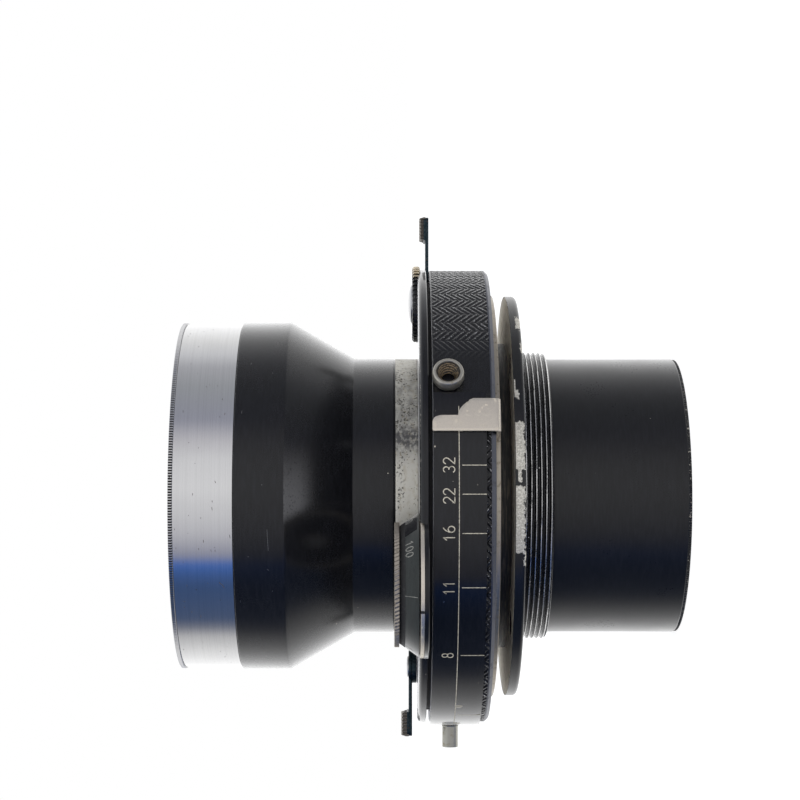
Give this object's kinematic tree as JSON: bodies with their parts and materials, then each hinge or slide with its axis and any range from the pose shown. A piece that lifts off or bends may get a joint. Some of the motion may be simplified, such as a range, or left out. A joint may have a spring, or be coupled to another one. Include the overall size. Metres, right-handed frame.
{
  "type": "lens in leaf shutter",
  "caption": "Large-format lens in a dial-set leaf shutter with herringbone rim, aperture scale and pointer, on a screwed lensboard flange.",
  "frame": {"origin": "on the optical axis at the rear face of the lensboard flange, which is the front surface of the lens board", "axes": "+Z along the optical axis towards the front of the lens, -Y towards the side with the cable release socket and aperture scale, +X towards the release lever"},
  "size_m": [0.1175, 0.1067, 0.1087],
  "materials": {
    "black_paint": "semi-gloss enamel",
    "chipped_paint": "worn enamel over bare metal",
    "nickel_plate": "dull nickel plate",
    "bare_aluminium": "turned, pitted",
    "satin_aluminium": "satin turned",
    "blued_steel": "blued",
    "black_anodised": "matt black",
    "coated_glass": "coated and polished",
    "blade_steel": "blackened, thin",
    "machined_brass": "machined",
    "steel_pin": "ground",
    "insulator": "moulded"
  },
  "bodies": {
    "shutter_body": {"rear_mount_tube": "black_paint", "rear_barrel": "black_paint", "shutter_housing": "black_paint", "aperture_scale_plate": "black_paint", "front_cover": "black_paint", "front_barrel": "black_paint", "lensboard_flange": "chipped_paint", "cable_release_socket": "nickel_plate", "sync_socket_shell": "nickel_plate", "sync_socket_pin": "nickel_plate", "speed_dial_base": "nickel_plate", "scale_plate_screws": "nickel_plate", "front_collar": "bare_aluminium", "front_bezel_ring": "satin_aluminium", "front_retaining_ring": "black_anodised", "rear_retaining_ring": "black_anodised", "front_spacer_ring": "black_anodised", "rear_spacer_ring": "black_anodised", "front_crown_element": "coated_glass", "front_flint_element": "coated_glass", "front_inner_element": "coated_glass", "rear_inner_element": "coated_glass", "rear_outer_element": "coated_glass", "iris_plate": "machined_brass", "mechanism_plate": "machined_brass", "shutter_spacer_ring": "machined_brass", "release_pivot": "steel_pin", "main_spring": "steel_pin", "cover_screws": "steel_pin", "sync_socket_insulator": "insulator"},
    "aperture_drive": {"aperture_ring": "nickel_plate", "aperture_pointer": "nickel_plate", "aperture_drive_pins": "steel_pin", "aperture_cam_ring": "machined_brass"},
    "blade_ring": {"blade_drive_ring": "machined_brass"},
    "dial": {"speed_dial": "nickel_plate", "speed_number_ring": "black_paint", "speed_cam": "machined_brass"},
    "mode": {"mode_wheel": "black_paint", "mode_wheel_cap": "nickel_plate"},
    "release": {"release_lever": "blued_steel", "release_lever_grip": "nickel_plate"},
    "cocking": {"cocking_lever": "blued_steel", "cocking_lever_grip": "nickel_plate", "cocking_shaft": "steel_pin"},
    "iris_blade_01_body": {"iris_blade_01": "blade_steel"},
    "iris_blade_02_body": {"iris_blade_02": "blade_steel"},
    "iris_blade_03_body": {"iris_blade_03": "blade_steel"},
    "iris_blade_04_body": {"iris_blade_04": "blade_steel"},
    "iris_blade_05_body": {"iris_blade_05": "blade_steel"},
    "iris_blade_06_body": {"iris_blade_06": "blade_steel"},
    "iris_blade_07_body": {"iris_blade_07": "blade_steel"},
    "iris_blade_08_body": {"iris_blade_08": "blade_steel"},
    "iris_blade_09_body": {"iris_blade_09": "blade_steel"},
    "iris_blade_10_body": {"iris_blade_10": "blade_steel"},
    "shutter_blade_1_body": {"shutter_blade_1": "blade_steel"},
    "shutter_blade_2_body": {"shutter_blade_2": "blade_steel"},
    "shutter_blade_3_body": {"shutter_blade_3": "blade_steel"},
    "shutter_blade_4_body": {"shutter_blade_4": "blade_steel"},
    "shutter_blade_5_body": {"shutter_blade_5": "blade_steel"}
  },
  "joints": [
    {"name": "aperture_turn", "type": "hinge", "parent": "shutter_body", "child": "aperture_drive", "pos_m": [0, 0, 0.0064], "axis": [0, 0, -1], "range_deg": [0, 80.8]},
    {"name": "iris_blade_01_pivot", "type": "hinge", "parent": "shutter_body", "child": "iris_blade_01_body", "pos_m": [0.0305, 0, 0.0113], "axis": [0, 0, -1], "range_deg": [0, 37.45]},
    {"name": "iris_blade_02_pivot", "type": "hinge", "parent": "shutter_body", "child": "iris_blade_02_body", "pos_m": [0.02467, 0.01793, 0.0113], "axis": [0, 0, -1], "range_deg": [0, 37.45]},
    {"name": "iris_blade_03_pivot", "type": "hinge", "parent": "shutter_body", "child": "iris_blade_03_body", "pos_m": [0.00942, 0.02901, 0.0113], "axis": [0, 0, -1], "range_deg": [0, 37.45]},
    {"name": "iris_blade_04_pivot", "type": "hinge", "parent": "shutter_body", "child": "iris_blade_04_body", "pos_m": [-0.00942, 0.02901, 0.0113], "axis": [0, 0, -1], "range_deg": [0, 37.45]},
    {"name": "iris_blade_05_pivot", "type": "hinge", "parent": "shutter_body", "child": "iris_blade_05_body", "pos_m": [-0.02467, 0.01793, 0.0113], "axis": [0, 0, -1], "range_deg": [0, 37.45]},
    {"name": "iris_blade_06_pivot", "type": "hinge", "parent": "shutter_body", "child": "iris_blade_06_body", "pos_m": [-0.0305, 0, 0.0113], "axis": [0, 0, -1], "range_deg": [0, 37.45]},
    {"name": "iris_blade_07_pivot", "type": "hinge", "parent": "shutter_body", "child": "iris_blade_07_body", "pos_m": [-0.02467, -0.01793, 0.0113], "axis": [0, 0, -1], "range_deg": [0, 37.45]},
    {"name": "iris_blade_08_pivot", "type": "hinge", "parent": "shutter_body", "child": "iris_blade_08_body", "pos_m": [-0.00942, -0.02901, 0.0113], "axis": [0, 0, -1], "range_deg": [0, 37.45]},
    {"name": "iris_blade_09_pivot", "type": "hinge", "parent": "shutter_body", "child": "iris_blade_09_body", "pos_m": [0.00942, -0.02901, 0.0113], "axis": [0, 0, -1], "range_deg": [0, 37.45]},
    {"name": "iris_blade_10_pivot", "type": "hinge", "parent": "shutter_body", "child": "iris_blade_10_body", "pos_m": [0.02467, -0.01793, 0.0113], "axis": [0, 0, -1], "range_deg": [0, 37.45]},
    {"name": "blade_ring_turn", "type": "hinge", "parent": "shutter_body", "child": "blade_ring", "pos_m": [0, 0, 0.0133], "axis": [0, 0, -1], "range_deg": [0, 20], "stiffness_Nm_per_rad": 0.01},
    {"name": "shutter_blade_1_pivot", "type": "hinge", "parent": "shutter_body", "child": "shutter_blade_1_body", "pos_m": [0.0385, 0, 0.0114], "axis": [0, 0, -1], "range_deg": [0, 35.9]},
    {"name": "shutter_blade_2_pivot", "type": "hinge", "parent": "shutter_body", "child": "shutter_blade_2_body", "pos_m": [0.0119, 0.03662, 0.0114], "axis": [0, 0, -1], "range_deg": [0, 35.9]},
    {"name": "shutter_blade_3_pivot", "type": "hinge", "parent": "shutter_body", "child": "shutter_blade_3_body", "pos_m": [-0.03115, 0.02263, 0.0114], "axis": [0, 0, -1], "range_deg": [0, 35.9]},
    {"name": "shutter_blade_4_pivot", "type": "hinge", "parent": "shutter_body", "child": "shutter_blade_4_body", "pos_m": [-0.03115, -0.02263, 0.0114], "axis": [0, 0, -1], "range_deg": [0, 35.9]},
    {"name": "shutter_blade_5_pivot", "type": "hinge", "parent": "shutter_body", "child": "shutter_blade_5_body", "pos_m": [0.0119, -0.03662, 0.0114], "axis": [0, 0, -1], "range_deg": [0, 35.9]},
    {"name": "speed_dial_turn", "type": "hinge", "parent": "shutter_body", "child": "dial", "pos_m": [-0.01814, -0.04151, 0.0262], "axis": [0, 0, 1], "range_deg": [-210, 60]},
    {"name": "mode_wheel_turn", "type": "hinge", "parent": "shutter_body", "child": "mode", "pos_m": [0.0418, -0.009, 0.022], "axis": [0, 0, 1], "range_deg": [-45, 45]},
    {"name": "release_press", "type": "hinge", "parent": "shutter_body", "child": "release", "pos_m": [0.0375, 0, 0.0194], "axis": [0, 0, 1], "range_deg": [0, 12], "stiffness_Nm_per_rad": 0.02},
    {"name": "cocking_turn", "type": "hinge", "parent": "shutter_body", "child": "cocking", "pos_m": [-0.038, 0, 0.0231], "axis": [0, 0, -1], "range_deg": [0, 40], "stiffness_Nm_per_rad": 0.02}
  ],
  "couplings": [
    {"joint": "iris_blade_01_pivot", "follows": "aperture_turn", "ratio": 0.4633},
    {"joint": "iris_blade_02_pivot", "follows": "aperture_turn", "ratio": 0.4633},
    {"joint": "iris_blade_03_pivot", "follows": "aperture_turn", "ratio": 0.4633},
    {"joint": "iris_blade_04_pivot", "follows": "aperture_turn", "ratio": 0.4633},
    {"joint": "iris_blade_05_pivot", "follows": "aperture_turn", "ratio": 0.4633},
    {"joint": "iris_blade_06_pivot", "follows": "aperture_turn", "ratio": 0.4633},
    {"joint": "iris_blade_07_pivot", "follows": "aperture_turn", "ratio": 0.4633},
    {"joint": "iris_blade_08_pivot", "follows": "aperture_turn", "ratio": 0.4633},
    {"joint": "iris_blade_09_pivot", "follows": "aperture_turn", "ratio": 0.4633},
    {"joint": "iris_blade_10_pivot", "follows": "aperture_turn", "ratio": 0.4633},
    {"joint": "shutter_blade_1_pivot", "follows": "blade_ring_turn", "ratio": 1.7926},
    {"joint": "shutter_blade_2_pivot", "follows": "blade_ring_turn", "ratio": 1.7926},
    {"joint": "shutter_blade_3_pivot", "follows": "blade_ring_turn", "ratio": 1.7926},
    {"joint": "shutter_blade_4_pivot", "follows": "blade_ring_turn", "ratio": 1.7926},
    {"joint": "shutter_blade_5_pivot", "follows": "blade_ring_turn", "ratio": 1.7926}
  ]
}
